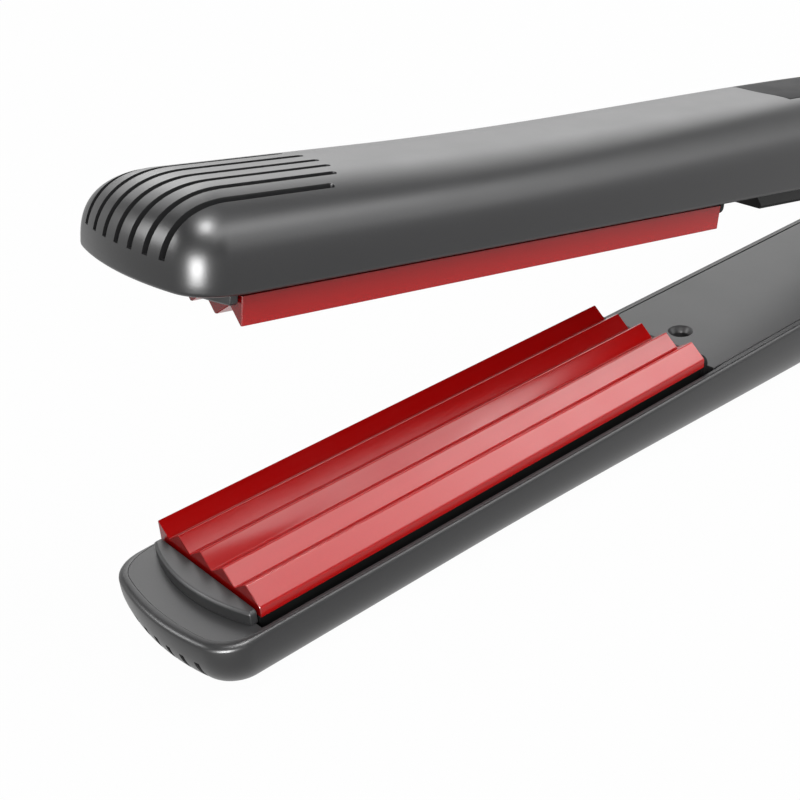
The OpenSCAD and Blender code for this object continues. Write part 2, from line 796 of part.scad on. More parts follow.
// Tongue of the knuckle, shaped to the hollow of the casing
module tongue() {
    reach = knuckle_w / 2 - 0.2;
    rotate([90, 0, 90])
        translate([0, 0, crossbar_front - 6])
            linear_extrude(hinge_x - 8 - crossbar_front + 6)
                polygon(concat(
                    [[reach, tongue_top], [-reach, tongue_top]],
                    [for (i = [-6:6])
                        let (y = reach * i / 6)
                        [y, max(tongue_bottom, hollow_z(hinge_x, y) + 0.2)]]
                ));
}

// Stop lug: meets the underside of the upper deck when the crimper is open
module stop_lug() {
    swung_open()
        turned_over()
            both_sides()
                translate([arm_end_x - 1.8, 3.8, deck_bottom - 0.3 - 1.1])
                    cube([7.8, 2.8, 1.1]);
}

// Knuckle of the lower arm: hollow barrel with a tongue and a cord socket
module knuckle() {
    difference() {
        union() {
            hinge_disc(barrel_r, -knuckle_w / 2, knuckle_w / 2);
            tongue();
            translate([hinge_x + 6, 0, hinge_z])
                rotate([0, 90, 0])
                    cylinder(r = knuckle_w / 2, h = socket_end - hinge_x - 6, $fn = 72);
            stop_lug();
        }
        hinge_disc(cavity_r, -cavity_w / 2, cavity_w / 2);
        hinge_disc(pin_r + pin_fit, -knuckle_w, knuckle_w);
        bar(hinge_x - barrel_r - 6, hinge_x - 4, window_w, tongue_top, hinge_z + 9.6);
        post(rear_screw_x, 0, screw_r + 0.1, tongue_bottom - 1, tongue_top + 1);
        translate([hinge_x, 0, hinge_z])
            rotate([0, 90, 0]) {
                cylinder(r = bush_r + bush_fit, h = barrel_r + 10);
                cylinder(r = bush_seat_r + 0.1, h = socket_in - hinge_x);
            }
    }
}

// One arm of the fork, shaped to the hollow of the casing
module fork_arm() {
    reach = 0.74 * (half_w - tail_narrow - wall - ear_in);
    rotate([90, 0, 90])
        translate([0, 0, crossbar_front])
            linear_extrude(hinge_x - 8 - crossbar_front)
                polygon(concat(
                    [[ear_in + reach, tongue_top], [ear_in, tongue_top]],
                    [for (i = [0:4])
                        let (y = ear_in + reach * i / 4)
                        [y, max(tongue_bottom, hollow_z(hinge_x, y) + 0.2)]]
                ));
}

// Ears of the upper arm, joined by a crossbar inside the casing
module fork() {
    difference() {
        union() {
            both_sides() {
                hinge_disc(barrel_r, ear_in, ear_out - 0.5);
                translate([hinge_x, ear_out - 0.5, hinge_z])
                    rotate([-90, 0, 0])
                        cylinder(r1 = barrel_r, r2 = barrel_r - 0.5, h = 0.5, $fn = 72);
                fork_arm();
            }
            bar(crossbar_front, crossbar_back, 2 * ear_in + 1, tongue_bottom, tongue_top);
        }
        hinge_disc(pin_r + pin_fit, -half_w, half_w);
        both_sides()
            hinge_disc(cap_r + 0.1, ear_out - cap_t + 0.2, half_w);
        post(rear_screw_x, 0, screw_r + 0.1, tongue_bottom - 1, tongue_top + 1);
    }
}
module hinge_cap_pair() {
    both_sides() {
        hinge_disc(cap_r, ear_out - cap_t + 0.25, ear_out);
        translate([hinge_x, ear_out, hinge_z])
            rotate([-90, 0, 0])
                cylinder(r1 = cap_r, r2 = cap_r - 0.4, h = 0.3, $fn = 72);
    }
}
module hinge_pin_shape() {
    reach = ear_out - cap_t + 0.1;
    hinge_disc(pin_r, -reach, reach);
}
module washer_pair() {
    both_sides()
        difference() {
            hinge_disc(2.4 * pin_r, knuckle_w / 2 + seat_gap, knuckle_w / 2 + seat_gap + washer_t);
            hinge_disc(pin_r + pin_fit, 0, half_w);
        }
}

// Opening spring: a wound wire with one leg on the tongue and one on the crossbar
leg_z = tongue_top + spring_wire_r + 0.05;
leg_x = crossbar_back - 1;
coil_pitch = 2 * spring_wire_r + 0.25;
coil_half = spring_turns * coil_pitch / 2;
function leg_points(y) = [
    [leg_x, y, leg_z], [hinge_x - barrel_r, y, leg_z], [hinge_x - 9, y, leg_z + 0.15],
    [hinge_x - 4.5, y, hinge_z - coil_r - 0.45]
];
function opened(p) =
    let (x = p[0] - hinge_x, z = hinge_z - p[2])
    [hinge_x + x * cos(open_angle) + z * sin(open_angle), -p[1],
        hinge_z + z * cos(open_angle) - x * sin(open_angle)];
// Each turn starts under the axis, where the lower leg runs in; the coil ends
// over the axis, where the upper leg runs out
coil_end_angle = 360 * spring_turns + 180 + open_angle;
spring_path = concat(
    leg_points(-coil_half),
    [for (i = [0:14 * spring_turns + 7])
        let (t = i / (14 * spring_turns + 7), a = -90 + coil_end_angle * t)
        [hinge_x + coil_r * cos(a), coil_half * (2 * t - 1), hinge_z + coil_r * sin(a)]],
    [for (p = [3, 2, 1, 0]) opened(leg_points(-coil_half)[p])]
);
module wire(path, r, sides) {
    n = len(path);
    ring = function (i)
        let (
            d = path[min(i + 1, n - 1)] - path[max(i - 1, 0)],
            t = d / norm(d),
            u0 = cross(t, [0, 1, 0]),
            u = u0 / norm(u0),
            v = cross(u, t)
        )
        [for (k = [0:sides - 1])
            path[i] + r * (u * cos(360 * k / sides) + v * sin(360 * k / sides))];
    polyhedron(
        points = [for (i = [0:n - 1]) each ring(i)],
        faces = concat(
            [for (i = [0:n - 2]) for (k = [0:sides - 1])
                let (m = (k + 1) % sides)
                [i * sides + k, i * sides + m, (i + 1) * sides + m, (i + 1) * sides + k]],
            [[for (k = [sides - 1:-1:0]) k]],
            [[for (k = [0:sides - 1]) (n - 1) * sides + k]]
        )
    );
}

// Swivel bush for the cord: turns in the knuckle's socket
module bush() {
    flange_end = socket_end + seat_gap + bush_flange_l;
    inner = socket_in - seat_gap;
    translate([0, 0, hinge_z])
        rotate([0, 90, 0])
            rotate_extrude($fn = 72)
                polygon([
                    [cord_bore_r, inner - 1.2], [bush_seat_r, inner - 1.2], [bush_seat_r, inner],
                    [bush_r, inner], [bush_r, socket_end + seat_gap],
                    [bush_flange_r - 0.4, socket_end + seat_gap],
                    [bush_flange_r, socket_end + seat_gap + 0.4],
                    [bush_flange_r, flange_end - 1.4], [bush_flange_r - 0.4, flange_end - 0.4],
                    [bush_flange_r - 1.4, flange_end], [cord_bore_r, flange_end]
                ]);
}

// ---------- controls in the upper arm ----------

module panel() {
    difference() {
        skin_patch(panel_x, panel_x + panel_l, panel_w, panel_bow, 0, panel_t - 0.05);
        post(button_x, 0, button_r + button_gap, rim_z - 2 * grip_depth, 0);
        post(lens_x, 0, lens_r + 0.05, rim_z - 2 * grip_depth, 0);
    }
}
// Holes and recess that the controls need in the upper casing
module control_cuts() {
    skin_patch(panel_x - panel_gap, panel_x + panel_l + panel_gap, panel_w + 2 * panel_gap,
        panel_bow, 1, panel_t);
    post(button_x, 0, button_r + 1.5, rim_z - 2 * grip_depth, rim_z - nose_depth, $fn = 32);
    post(lens_x, 0, lens_r + 0.6, rim_z - 2 * grip_depth, rim_z - nose_depth, $fn = 24);
}
module board_posts() {
    for (x = [board_x0 + 3, board_x1 - 3])
        for (y = [-board_w / 2 + 2, board_w / 2 - 2])
            post(x, y, 1.4, rim_z - grip_depth, board_z, $fn = 16);
}
module board() {
    bar(board_x0, board_x1, board_w, board_z, board_z + board_t);
}
module switch_body() {
    bar(button_x - 3, button_x + 3, 6, board_z - switch_h, board_z);
    post(button_x, 0, 1.3, board_z - switch_h - plunger_h, board_z - switch_h, $fn = 24);
}
module lamp() {
    bar(lens_x - 0.8, lens_x + 0.8, 1.6, board_z - lamp_h, board_z);
}
// Button: domed head, retaining flange under the panel and a stem to the switch
button_top = skin_z(button_x, 0) - button_proud;
flange_z = skin_z(button_x, button_r + 1) + panel_t + button_skin / 5;
stem_end = board_z - switch_h - plunger_h - button_travel - seat_gap;
module button() {
    translate([button_x, 0, 0])
        rotate_extrude($fn = 48)
            polygon([
                [0, button_top], [button_r - 1.2, button_top + 0.08], [button_r - 0.4, button_top + 0.3],
                [button_r, button_top + 0.7], [button_r, flange_z], [button_r + 0.9, flange_z],
                [button_r + 0.9, flange_z + 0.7], [1.2, flange_z + 0.7], [1.2, stem_end], [0, stem_end]
            ]);
}
module lens() {
    skin = skin_z(lens_x, 0);
    shoulder = skin + panel_t;
    post(lens_x, 0, lens_r, skin, shoulder + 0.1, $fn = 32);
    post(lens_x, 0, lens_r + 0.45, shoulder + 0.05, shoulder + 1, $fn = 32);
    post(lens_x, 0, lens_r - 0.2, shoulder + 1, board_z - lamp_h - 0.1, $fn = 32);
}

// ---------- nodes ----------

module lower_casing() {
    color(casing_grey)
        lower_arm()
            casing_with_pilot_holes(lower_screw_x);
}
module lower_deck() {
    color(deck_grey)
        lower_arm()
            deck();
}
module lower_grip_cover() {
    color(deck_grey)
        lower_arm()
            flat_cover();
}
module lower_end_block() {
    color(deck_grey)
        lower_arm()
            end_block();
}
module lower_plate_holder() {
    color(black)
        lower_arm()
            plate_holder();
}
module lower_crimp_plate() {
    color(plate_red)
        lower_arm()
            crimp_plate_trimmed();
}
module lower_heater() {
    color("ivory")
        lower_arm()
            heater();
}
module lower_mica_sheet() {
    color("tan")
        lower_arm()
            mica_sheet();
}
module lower_heater_clip() {
    color(steel)
        lower_arm()
            heater_clip();
}
module lower_thermal_fuse() {
    color("white")
        lower_arm()
            thermal_fuse();
}
module lower_leads() {
    color("white")
        lower_arm()
            leads(connector_x);
}
module lower_cover_screws() {
    color(steel)
        lower_arm()
            cover_screws(lower_screw_x);
}
module lead_connector() {
    color("ivory")
        lower_arm()
            bar(connector_x, connector_x + connector_l, connector_w, lead_z - 2.4, lead_z + 2);
}
module hinge_knuckle() {
    color(black)
        lower_arm()
            knuckle();
}
module hinge_pin() {
    color(steel)
        lower_arm()
            hinge_pin_shape();
}
module hinge_washers() {
    color("white")
        lower_arm()
            washer_pair();
}
module opening_spring() {
    color(steel)
        lower_arm()
            wire(spring_path, spring_wire_r, 6);
}
module upper_casing() {
    color(casing_grey)
        upper_arm()
            difference() {
                casing_with_pilot_holes(upper_screw_x)
                    board_posts();
                control_cuts();
            }
}
module upper_deck() {
    color(deck_grey)
        upper_arm()
            deck();
}
module upper_grip_cover() {
    color(black)
        upper_arm()
            thick_cover();
}
module upper_end_block() {
    color(deck_grey)
        upper_arm()
            end_block();
}
module upper_plate_holder() {
    color(black)
        upper_arm()
            plate_holder();
}
module upper_crimp_plate() {
    color(plate_red)
        upper_arm()
            crimp_plate_trimmed();
}
module upper_heater() {
    color("ivory")
        upper_arm()
            heater();
}
module upper_mica_sheet() {
    color("tan")
        upper_arm()
            mica_sheet();
}
module upper_heater_clip() {
    color(steel)
        upper_arm()
            heater_clip();
}
module upper_thermal_fuse() {
    color("white")
        upper_arm()
            thermal_fuse();
}
module upper_leads() {
    color("white")
        upper_arm()
            leads(board_x0 + 6);
}
module upper_cover_screws() {
    color(steel)
        upper_arm()
            cover_screws(upper_screw_x);
}
module hinge_fork() {
    color(casing_grey)
        upper_arm()
            fork();
}
module hinge_caps() {
    color(black)
        upper_arm()
            hinge_cap_pair();
}
module control_panel() {
    color(black)
        upper_arm()
            panel();
}
module control_board() {
    color("darkgreen")
        upper_arm()
            board();
}
module push_switch() {
    color("silver")
        upper_arm()
            switch_body();
}
module indicator_lamp() {
    color("white")
        upper_arm()
            lamp();
}
module indicator_lens() {
    color([0.8, 0.1, 0.1])
        upper_arm()
            lens();
}
module power_button() {
    color(casing_grey)
        upper_arm()
            button();
}
module cord_bush() {
    color(black)
        lower_arm()
            bush();
}

lower_casing();
lower_deck();
lower_grip_cover();
lower_end_block();
lower_plate_holder();
lower_crimp_plate();
lower_heater();
lower_mica_sheet();
lower_heater_clip();
lower_thermal_fuse();
lower_leads();
lower_cover_screws();
lead_connector();
hinge_knuckle();
hinge_pin();
hinge_washers();
opening_spring();
upper_casing();
upper_deck();
upper_grip_cover();
upper_end_block();
upper_plate_holder();
upper_crimp_plate();
upper_heater();
upper_mica_sheet();
upper_heater_clip();
upper_thermal_fuse();
upper_leads();
upper_cover_screws();
hinge_fork();
hinge_caps();
control_panel();
control_board();
push_switch();
indicator_lamp();
indicator_lens();
power_button();
cord_bush();
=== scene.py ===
# %% [markdown]
# # A hair crimper, dressed for the camera
#
# A hair crimper is a pair of tongs: two moulded plastic arms, joined by a hinge at the cord end,
# with a ridged heated plate in each. This lesson takes the fixed frame, a plain model of every
# piece with its true size and place, and builds the surfaces that the eye sees on it.
# Nearly everything here follows one rule of shape, the loft of an arm, so that rule comes first.

import math

import bmesh
import bpy
import numpy as np
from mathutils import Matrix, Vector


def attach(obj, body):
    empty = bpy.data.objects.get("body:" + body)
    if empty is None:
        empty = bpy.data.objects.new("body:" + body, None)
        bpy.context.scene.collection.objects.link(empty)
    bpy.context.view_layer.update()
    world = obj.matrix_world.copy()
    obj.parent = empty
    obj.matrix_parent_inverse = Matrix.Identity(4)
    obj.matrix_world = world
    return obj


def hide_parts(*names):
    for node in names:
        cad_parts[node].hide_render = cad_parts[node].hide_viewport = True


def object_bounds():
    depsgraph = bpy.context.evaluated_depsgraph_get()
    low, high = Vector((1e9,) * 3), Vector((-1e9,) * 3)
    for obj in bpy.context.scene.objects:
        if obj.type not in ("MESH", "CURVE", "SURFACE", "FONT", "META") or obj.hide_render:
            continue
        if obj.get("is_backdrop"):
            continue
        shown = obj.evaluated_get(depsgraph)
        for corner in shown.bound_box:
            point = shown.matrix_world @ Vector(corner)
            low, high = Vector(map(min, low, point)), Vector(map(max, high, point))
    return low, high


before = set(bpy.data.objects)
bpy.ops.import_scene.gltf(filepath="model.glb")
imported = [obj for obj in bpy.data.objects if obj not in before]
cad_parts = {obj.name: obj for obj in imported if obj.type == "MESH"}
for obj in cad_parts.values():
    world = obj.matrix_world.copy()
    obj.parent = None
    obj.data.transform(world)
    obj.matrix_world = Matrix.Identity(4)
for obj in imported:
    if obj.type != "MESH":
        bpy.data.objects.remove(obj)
cad_low, cad_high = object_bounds()

# %% [markdown]
# ## Lengths
# The arm is drawn in millimetres, lying along X with its nose at the left and its joint plane
# level. Blender works in metres, so one factor turns the finished points over.
# Most of these sizes are those of the frame. The surface alone has the run of a ridge's steep
# side, the drop of its valley, the roll of the rim and the joint line between rim and deck.

# %% Sizes of an arm, in millimetres
MM = 0.001
PLATE_L, PLATE_W, PLATE_T = 92.4, 24.75, 2.1
PLATE_STAND = 2.95
RIDGE_PITCH, RIDGE_H, EDGE_DROP = 5.5, 1.75, 0.6
SLOPE_RUN, VALLEY_DROP = 2.45, 0.36
MESH_ROOM = 0.33
BODY_W, NOSE_REACH, NOSE_FRONT_R, NOSE_CORNER_R = 29.0, 9.85, 40.0, 5.7
DOME_CENTRE = 4.2
NOSE_DEPTH, GRIP_DEPTH = 10.2, 13.85
SWELL = (33.0, 153.0)
TAPER_START, TAIL_NARROW, TAIL_BLEND = 152.0, 0.4, 34.0
SECTION_POWER, FLAT_SHARE = 2.66, 0.3
WALL, BEAD_W, BEAD_H, NOSE_BEAD_W, ROLL_W = 1.9, 0.5, 0.8, 0.8, 0.62
HINGE_X, BARREL_R, OPEN_ANGLE = 211.0, 12.5, 10.67
BARREL_CLEAR, HOLLOW_CLEAR = 0.45, -0.55
VENT_COUNT, VENT_PITCH, VENT_W, VENT_DROP = 7, 2.88, 0.95, 3.0
VENT_REACH, VENT_ARC_R = 20.2, 11.0
DECK_T, GAP, JOINT, LEDGE_ROOM = 2.45, 0.15, 0.01, 0.05
POCKET_FRONT, POCKET_ROOM, COVER_W = -0.6, 1.6, 25.6
PANEL_X, PANEL_L, PANEL_W, PANEL_BOW, PANEL_T = 115.5, 56.0, 11.8, 1.2, 1.2

HALF_W = BODY_W / 2
FACE_Z = -PLATE_STAND
RIM_Z = FACE_Z - BEAD_H
DECK_BOTTOM = FACE_Z - DECK_T
HINGE_Z = (RIDGE_H + MESH_ROOM) / 2
TAIL_DEPTH = RIM_Z - (HINGE_Z - BARREL_R)
print("rim at z =", RIM_Z, "mm, hinge at z =", HINGE_Z, "mm, depth at the barrel", round(TAIL_DEPTH, 2), "mm")

# %% [markdown]
# ## Where an arm lies
# The crimper rests open on its lower arm, which tips a little until its nose and its grip both
# touch the ground. The upper arm is the same arm turned over and swung open about the hinge.
# Turning whole arrays of points at once is one matrix product. Distances under which two points
# count as one are in metres.

# %% Placing points
SAME_POINT, SLIVER = 2e-6, 1e-6
REST_TILT = math.radians(1.43293)
ROW_SHIFT = np.array([-110.075, 0.0, 16.54595])
HINGE_AT = np.array([HINGE_X, 0.0, HINGE_Z])


def about_y(angle):
    """Matrix that turns points about Y: x' = x cos + z sin, z' = z cos - x sin."""
    c, s = math.cos(angle), math.sin(angle)
    return np.array([[c, 0, s], [0, 1, 0], [-s, 0, c]])


def place(points, arm):
    """Arm millimetres to frame metres. The upper arm is turned over, then swung open."""
    points = np.asarray(points, float)
    if arm == "upper_arm":
        points = points * [1, -1, -1] + [0, 0, 2 * HINGE_Z]
        points = (points - HINGE_AT) @ about_y(math.radians(OPEN_ANGLE)).T + HINGE_AT
    return (points + ROW_SHIFT) @ about_y(-REST_TILT).T * MM


def add_mesh(name, points, faces, arm, sharp=35):
    """Makes a mesh object from arm millimetres. Edges that turn by more than sharp degrees are crisp."""
    mesh = bpy.data.meshes.new(name)
    mesh.from_pydata(place(points, arm).tolist(), [], faces)
    piece = bpy.data.objects.new(name, mesh)
    bpy.context.scene.collection.objects.link(piece)
    tidy_mesh(mesh, sharp)
    return piece


def tidy_mesh(mesh, sharp):
    """Closes seams and poles by merging doubles, then sets outward normals and smooth shading."""
    work = bmesh.new()
    work.from_mesh(mesh)
    bmesh.ops.remove_doubles(work, verts=work.verts, dist=SAME_POINT)
    bmesh.ops.dissolve_degenerate(work, edges=work.edges, dist=SLIVER)
    bmesh.ops.recalc_face_normals(work, faces=work.faces)
    work.to_mesh(mesh)
    work.free()
    shade_smooth(mesh, sharp)


def shade_smooth(mesh, sharp):
    """Smooth faces, with crisp edges where two of them meet at more than sharp degrees."""
    mesh.polygons.foreach_set("use_smooth", np.ones(len(mesh.polygons), bool))
    mesh.set_sharp_from_angle(angle=math.radians(sharp))


def grid_faces(rows, columns, closed=False):
    """Corner numbers of the quads between the points of a rows by columns grid, as a list."""
    last = columns if closed else columns - 1
    i, j = np.meshgrid(np.arange(rows - 1), np.arange(last), indexing="ij")
    k = (j + 1) % columns
    row, below = i * columns, (i + 1) * columns
    quads = np.stack([row + j, row + k, below + k, below + j], -1)
    return quads.reshape(-1, 4).tolist()


# %% [markdown]
# ## The rule of the moulded arm
# Seen from above, an arm is a long strip with a bowed front and two round corners. Seen from the
# end it is a rounded square, deepest in the middle. Going down, the outline shrinks towards a
# spine, and at the nose the spine ends in a point, so the same rule closes the nose in a dome.

# %% Depth, width and section
# Power that eases the section into its flat back, and the least reach of a tail's end in radii
SOFTNESS = 6
LEAST_TAIL = 0.55


def ease(t):
    """0 to 1 with level ends: t squared times (3 - 2t)."""
    t = np.clip(t, 0, 1)
    return t * t * (3 - 2 * t)


def taper_at(x):
    """How far the tail's taper has come at x, from 0 to 1 at the hinge."""
    return ease((x - TAPER_START) / (HINGE_X - TAPER_START))


def depth_at(x):
    """Depth under the rim: nose depth, swelling to the grip and easing off to the barrel."""
    swell = ease((x - SWELL[0]) / (SWELL[1] - SWELL[0]))
    return NOSE_DEPTH + (GRIP_DEPTH - NOSE_DEPTH) * swell - (GRIP_DEPTH - TAIL_DEPTH) * taper_at(x)


def half_w_at(x):
    """Half the width, a little less at the tail."""
    return HALF_W - TAIL_NARROW * taper_at(x)


def section_drop(share):
    """Share of the depth at a share c of the half width: (1 - c^n)^(1/n), with a soft flat back."""
    soft = (share**SOFTNESS + FLAT_SHARE**SOFTNESS * (1 - share**SOFTNESS)) ** (1 / SOFTNESS)
    return (1 - soft**SECTION_POWER) ** (1 / SECTION_POWER)


def skin_z(x, y):
    """Height of the outer skin over a point in plan."""
    return RIM_Z - depth_at(x) * section_drop(np.clip(np.abs(y) / half_w_at(x), 0, 1))


def tail_x(z, clear):
    """Where the casing ends round the barrel: hinge x - sqrt(r^2 - z^2), z taken from the hinge."""
    r = BARREL_R + clear
    return HINGE_X - np.maximum(LEAST_TAIL * r, np.sqrt(np.maximum(0, r * r - (z - HINGE_Z) ** 2)))


# %% The outline in plan
CORNER_Y = HALF_W - NOSE_CORNER_R
BOW_X = NOSE_FRONT_R - NOSE_REACH
CORNER_X = BOW_X - math.sqrt((NOSE_FRONT_R - NOSE_CORNER_R) ** 2 - CORNER_Y**2)
BLEND_X = HINGE_X - TAIL_BLEND
TAIL_STEPS, SIDE_STEPS, CHEEK_STEPS, CORNER_STEPS, FRONT_STEPS = 23, 70, 5, 27, 21


def half_outline():
    """Stations from the hinge to the nose tip as rows of x, y and tail share."""
    tail = np.linspace(1, 0, TAIL_STEPS + 1)[:-1]
    side = np.linspace(0, 1, SIDE_STEPS)
    cheek = np.linspace(0, 1, CHEEK_STEPS + 1)[1:]
    turn = math.atan2(CORNER_Y, CORNER_X - BOW_X)
    corner = np.linspace(math.pi / 2, turn, CORNER_STEPS + 1)[1:]
    front = np.linspace(turn, math.pi, FRONT_STEPS + 1)[1:]
    xs = [
        BLEND_X + 0 * tail,
        BLEND_X + (DOME_CENTRE - BLEND_X) * side,
        DOME_CENTRE + (CORNER_X - DOME_CENTRE) * cheek,
        CORNER_X + NOSE_CORNER_R * np.cos(corner),
        BOW_X + NOSE_FRONT_R * np.cos(front),
    ]
    ys = [
        HALF_W + 0 * tail,
        HALF_W + 0 * side,
        HALF_W + 0 * cheek,
        CORNER_Y + NOSE_CORNER_R * np.sin(corner),
        NOSE_FRONT_R * np.sin(front),
    ]
    shares = [tail, 0 * side, 0 * cheek, 0 * corner, 0 * front]
    return np.stack([np.concatenate(parts) for parts in (xs, ys, shares)], -1)


def whole_outline():
    """Both halves, near side after far side, with the nose tip once."""
    half = half_outline()
    return np.concatenate([half, half[-2::-1] * [1, -1, 1]])


NOSE_BEAD_RUN = 0.6 * NOSE_REACH


def nose_bead(stations):
    """Extra width of the rim round the front of the nose, one value a station."""
    return NOSE_BEAD_W * ease(-stations[:, 0] / NOSE_BEAD_RUN)


def plan(stations, inset, rear):
    """Plan points of the stations, moved inset towards the spine; the tail runs to rear."""
    x = stations[:, 0] + stations[:, 2] * (rear - stations[:, 0])
    y = np.sign(stations[:, 1]) * np.minimum(np.abs(stations[:, 1]), half_w_at(x))
    spine = np.maximum(x, DOME_CENTRE)
    reach = np.hypot(spine - x, y)
    share = np.clip(inset / np.maximum(reach, 1e-9), 0, 1)
    return x + (spine - x) * share, y * (1 - share)


def skin_rows(stations, inset, clear, c, height):
    """Rows of skin. c shrinks the outline to the spine; height(x) gives each row's height."""
    x, y = plan(stations, inset, HINGE_X - BARREL_R)
    x, y, tail, begin = x[:, None], y[:, None], stations[:, 2:3], stations[:, 0:1]
    spine = np.maximum(x, DOME_CENTRE)
    cut_x = begin + tail * (tail_x(height(x), clear) - begin)
    shown_x = np.where(tail > 0, cut_x, spine + (x - spine) * c)
    return np.stack([shown_x, y * c + 0 * shown_x, height(shown_x)], -1)


print("nose corner starts at x =", round(CORNER_X, 2), "mm, with", len(half_outline()), "stations a side")

# %% [markdown]
# ## Moulded casings
# Each casing is a hollow injection moulding about 1.9 mm thick. Its rim is rolled in to a bead,
# and inside the bead a rebate takes the deck. The wall is one grid: down the outside from the
# keel to the rim, over the bead, down the rebate and back along the hollow.

# %% The casing's wall
SECTION_ROWS, BEAD_ROWS = 34, 7
DECK_INSET = BEAD_W + GAP
# The hollow's section starts above the face, so that its sides are upright at the ledge
HOLLOW_TOP = FACE_Z + 1


def casing_wall(stations):
    """Grid of points, one row a station: outside, bead, rebate, ledge and hollow."""
    a = np.linspace(math.pi / 2, 0, SECTION_ROWS)[None, :]
    c = np.maximum(np.cos(a), 0) ** (2 / SECTION_POWER)
    outside = skin_rows(stations, 0, BARREL_CLEAR, c, lambda x: RIM_Z - section_drop(c) * depth_at(x))
    extra = nose_bead(stations)
    ledge_z = DECK_BOTTOM - LEDGE_ROOM

    def level_row(inset, z):
        return skin_rows(stations, inset, BARREL_CLEAR, 1.0, lambda x: z + 0 * x)

    bead = [
        level_row((ROLL_W + extra) * (1 - math.cos(t)), RIM_Z + BEAD_H * math.sin(t))
        for t in np.linspace(0, math.pi / 2, BEAD_ROWS)[1:]
    ]
    rebate = [level_row(DECK_INSET + extra, z) for z in (FACE_Z, ledge_z)]

    def depth(x):
        return depth_at(x) - WALL + HOLLOW_TOP - RIM_Z

    first = (HOLLOW_TOP - ledge_z) / depth(plan(stations, WALL, HINGE_X - BARREL_R)[0])[:, None]
    first_a = np.arcsin(np.clip(first ** (SECTION_POWER / 2), 0, 1))
    a = first_a + (math.pi / 2 - first_a) * np.linspace(0, 1, SECTION_ROWS)[None, :]
    s, c = np.sin(a) ** (2 / SECTION_POWER), np.maximum(np.cos(a), 0) ** (2 / SECTION_POWER)
    hollow = skin_rows(stations, WALL, HOLLOW_CLEAR, c, lambda x: HOLLOW_TOP - s * depth(x))
    return np.concatenate([outside, *bead, *rebate, hollow], 1)


def casing(name, arm):
    """The wall's grid, with both ends at the hinge closed between the outside and the hollow."""
    wall = casing_wall(whole_outline())
    stations, rows = wall.shape[:2]
    faces = grid_faces(stations, rows)
    k = np.arange(SECTION_ROWS - 1)
    for start in (0, (stations - 1) * rows):
        strip = np.stack([k, k + 1, rows - 2 - k, rows - 1 - k], -1) + start
        faces += strip.tolist()
        faces.append((np.arange(SECTION_ROWS - 1, rows - SECTION_ROWS + 1) + start).tolist())
    return add_mesh(name, wall.reshape(-1, 3), faces, arm)


lower_shell = casing("lower_shell", "lower_arm")
upper_shell = casing("upper_shell", "upper_arm")
print("casing faces:", len(lower_shell.data.polygons))

# %% [markdown]
# ## Vents
# Seven slots let hot air out over the nose of each arm. In the mould each is a straight blade,
# so cutting with a blade of the same shape gives the same curve over the dome. The blades carry a
# marker material: the walls they leave come out in a second slot, which gets painted shade, a
# near-black finish that stands in for the shadow inside the slots.

# %% Cut with blades
def prism(name, outline, z0, z1, arm, sharp=35):
    """A closed prism: the outline in plan, carried from z0 up to z1."""
    n = len(outline)
    points = [np.column_stack([outline, np.full(n, z)]) for z in (z0, z1)]
    faces = [list(range(n)), list(range(2 * n - 1, n - 1, -1))] + grid_faces(2, n, closed=True)
    return add_mesh(name, np.concatenate(points), faces, arm, sharp)


def carve(piece, cutters, sharp=35):
    """Subtracts closed cutters from the piece with exact booleans, then deletes them."""
    for cutter in cutters:
        cut = piece.modifiers.new(cutter.name, "BOOLEAN")
        cut.operation, cut.solver, cut.object = "DIFFERENCE", "EXACT", cutter
        cut.material_mode = "TRANSFER"
    apply_modifiers(piece)
    for cutter in cutters:
        bpy.data.objects.remove(cutter)
    shade_smooth(piece.data, sharp)


def apply_modifiers(piece):
    """Replaces the mesh by the one that its modifiers give."""
    bpy.context.view_layer.update()
    seen = piece.evaluated_get(bpy.context.evaluated_depsgraph_get())
    mesh = bpy.data.meshes.new_from_object(seen)
    piece.modifiers.clear()
    piece.data = mesh


def flat_first(piece):
    """Weighs each normal by the area of its faces, so a wide face stays flat beside a small round."""
    piece.modifiers.new("flat first", "WEIGHTED_NORMAL").keep_sharp = True
    apply_modifiers(piece)


def stadium(x0, x1, y, r, steps=14):
    """Plan outline of a slot: two straight sides and two half rounds."""
    t = np.linspace(-math.pi / 2, math.pi / 2, steps)
    right = np.column_stack([x1 + r * np.cos(t), y + r * np.sin(t)])
    left = np.column_stack([x0 - r * np.cos(t), y - r * np.sin(t)])
    return np.concatenate([right, left])


def vent_blades(arm):
    """One blade a slot. The slots end on an arc across the arm: x = reach - r + sqrt(r^2 - y^2)."""
    blades = []
    before_nose, below_skin = -2 * NOSE_REACH, RIM_Z - 2 * NOSE_DEPTH
    for i in range(VENT_COUNT):
        y = (i - (VENT_COUNT - 1) / 2) * VENT_PITCH
        reach = VENT_REACH - VENT_ARC_R + math.sqrt(VENT_ARC_R**2 - y * y)
        slot = stadium(before_nose, reach - VENT_W / 2, y, VENT_W / 2)
        blade = prism(f"blade_{i}", slot, below_skin, RIM_Z - VENT_DROP, arm)
        blade.data.materials.append(cut_mark)
        blades.append(blade)
    return blades


# Markers keep the skin and the cut walls apart until the finishes are made
skin_mark, cut_mark = bpy.data.materials.new("skin"), bpy.data.materials.new("cut")
for shell, arm in ((lower_shell, "lower_arm"), (upper_shell, "upper_arm")):
    shell.data.materials.append(skin_mark)
    carve(shell, vent_blades(arm))
print("after the vents:", len(lower_shell.data.polygons), "faces")

# %% [markdown]
# ## Crimp plates
# The plates are extruded aluminium under a red non-stick coat. Their ridges are uneven teeth: the
# side towards the near edge is steep, about 41 degrees, and mirrors a lamp that hangs on that side.
# A tooth that is really sharp shows no edge, so each crest and valley gets the small round that
# the coat leaves. Shading runs smoothly over a round, and it would bend a wide slope as well, so
# guard points close beside each round keep the slope flat to the light.

